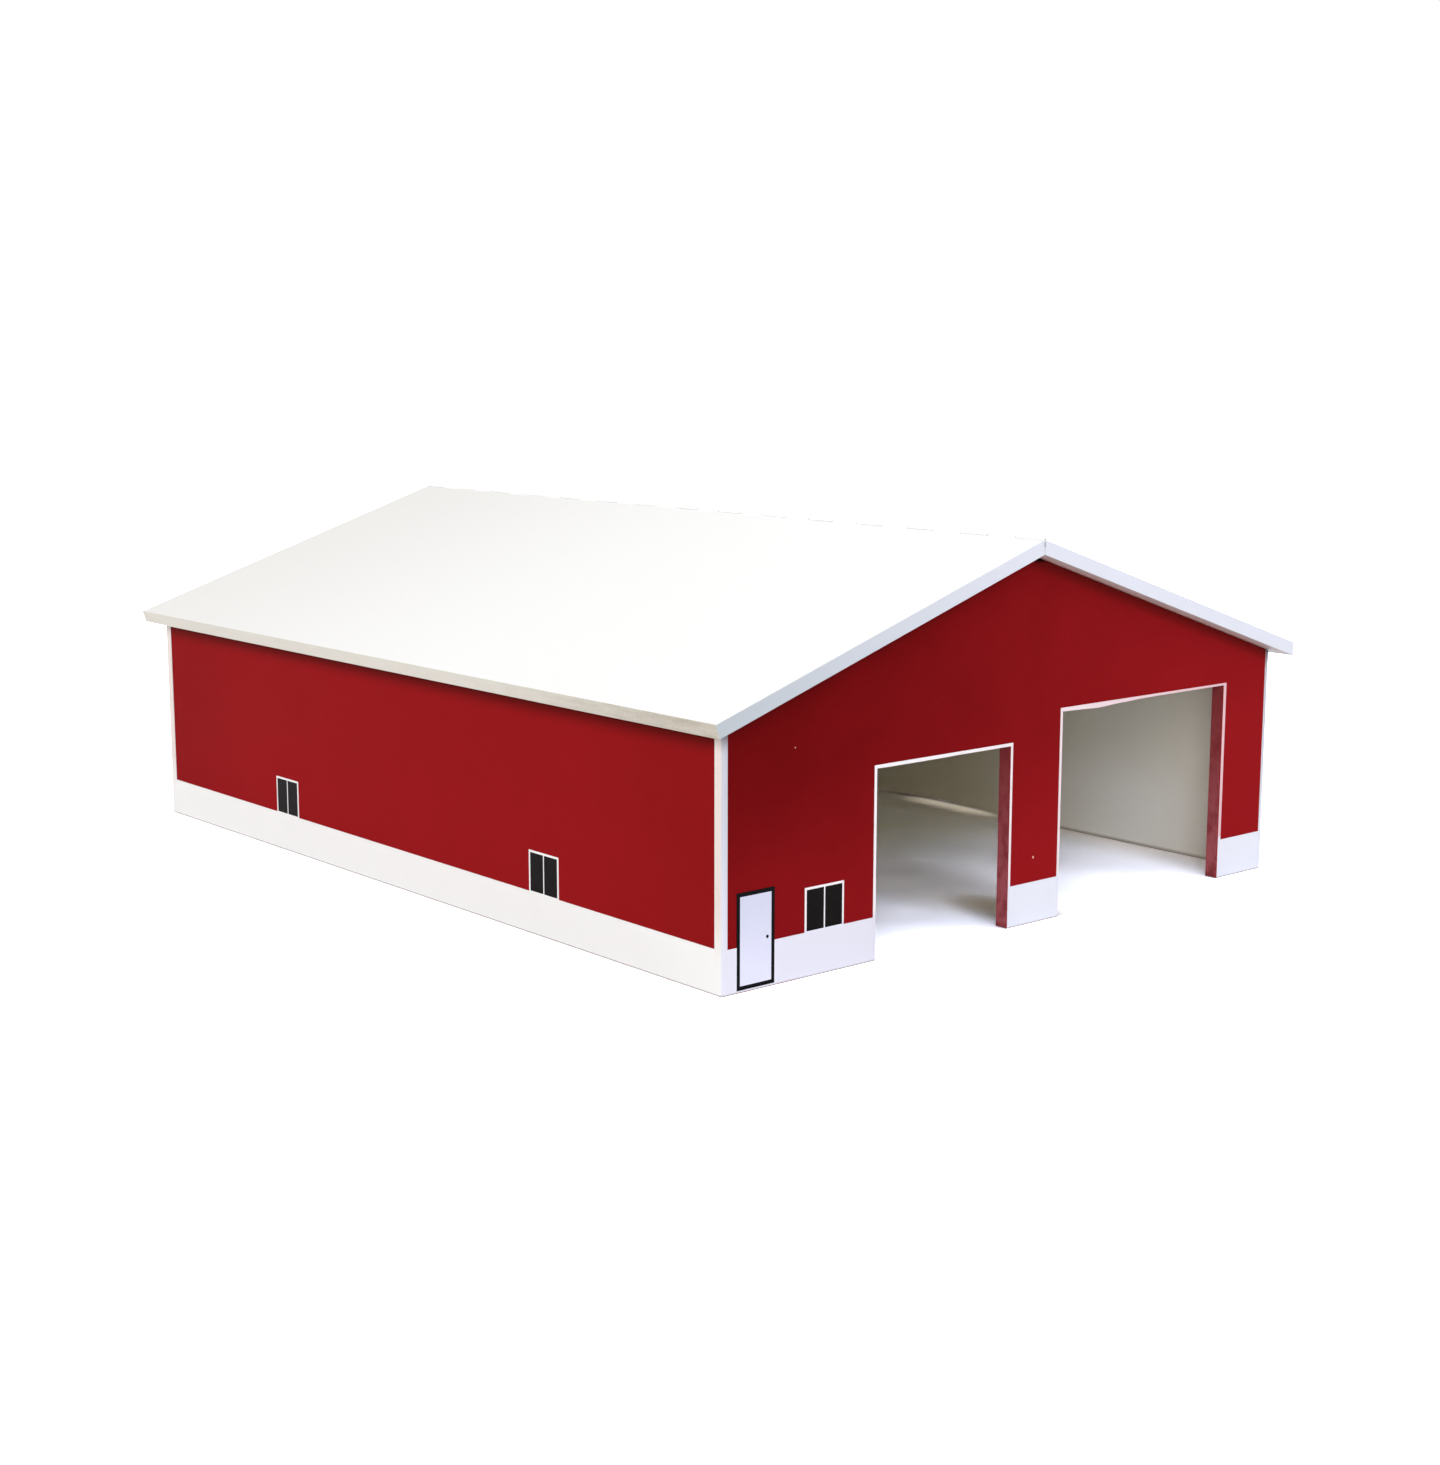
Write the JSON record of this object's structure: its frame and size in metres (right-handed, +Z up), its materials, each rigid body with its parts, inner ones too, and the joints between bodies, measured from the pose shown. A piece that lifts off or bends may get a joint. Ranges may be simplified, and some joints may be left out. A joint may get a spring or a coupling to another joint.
{
  "type": "toy garage shed",
  "caption": "Painted board toy machine shed with open vehicle doorways in the gable, printed door and windows, and a white gable roof that lifts on a ridge hinge.",
  "frame": {"origin": "on the ground under the middle of the roof", "axes": "+X along the front gable from its left to its right, +Y from the front gable to the back one, +Z up"},
  "size_m": [0.3207, 0.423, 0.1515],
  "materials": {
    "wall_board": "fibreboard, satin red paint outside and on the sawn edges, off-white inside",
    "roof_board": "fibreboard, satin white paint, slightly rough on the sawn edges",
    "glue_block": "planed softwood, bare",
    "trim_film": "satin white self-adhesive film",
    "black_film": "satin black self-adhesive film",
    "door_film": "satin pale grey-white self-adhesive film",
    "pane_film": "dark self-adhesive film with a soft gloss",
    "hinge_steel": "zinc-plated steel, painted over with the roof where it shows on the ridge"
  },
  "bodies": {
    "shed": {"front_wall": "wall_board", "back_wall": "wall_board", "left_wall": "wall_board", "right_wall": "wall_board", "corner_block_front_left": "glue_block", "corner_block_front_right": "glue_block", "corner_block_back_left": "glue_block", "corner_block_back_right": "glue_block", "front_trim": "trim_film", "back_wainscot": "trim_film", "left_wainscot": "trim_film", "right_wainscot": "trim_film", "corner_strip_front_left": "trim_film", "corner_strip_front_right": "trim_film", "corner_strip_back_left": "trim_film", "corner_strip_back_right": "trim_film", "door_frame": "black_film", "door_leaf": "door_film", "door_knob": "black_film", "front_window_frame": "trim_film", "left_window_1_frame": "trim_film", "left_window_2_frame": "trim_film", "right_window_1_frame": "trim_film", "right_window_2_frame": "trim_film", "front_window_pane_1": "pane_film", "front_window_pane_2": "pane_film", "left_window_1_pane_1": "pane_film", "left_window_1_pane_2": "pane_film", "left_window_2_pane_1": "pane_film", "left_window_2_pane_2": "pane_film", "right_window_1_pane_1": "pane_film", "right_window_1_pane_2": "pane_film", "right_window_2_pane_1": "pane_film", "right_window_2_pane_2": "pane_film", "right_roof_board": "roof_board", "fixed_hinge_leaf": "hinge_steel", "hinge_pin": "hinge_steel", "fixed_leaf_brad_1": "hinge_steel", "fixed_leaf_brad_2": "hinge_steel", "fixed_leaf_brad_3": "hinge_steel", "fixed_leaf_brad_4": "hinge_steel", "fixed_leaf_brad_5": "hinge_steel"},
    "lid": {"left_roof_board": "roof_board", "moving_hinge_leaf": "hinge_steel", "moving_leaf_brad_1": "hinge_steel", "moving_leaf_brad_2": "hinge_steel", "moving_leaf_brad_3": "hinge_steel", "moving_leaf_brad_4": "hinge_steel", "moving_leaf_brad_5": "hinge_steel"}
  },
  "joints": [
    {"name": "roof_lift", "type": "hinge", "parent": "shed", "child": "lid", "pos_m": [0, 0, 0.15094], "axis": [0, 1, 0], "range_deg": [0, 140]}
  ]
}
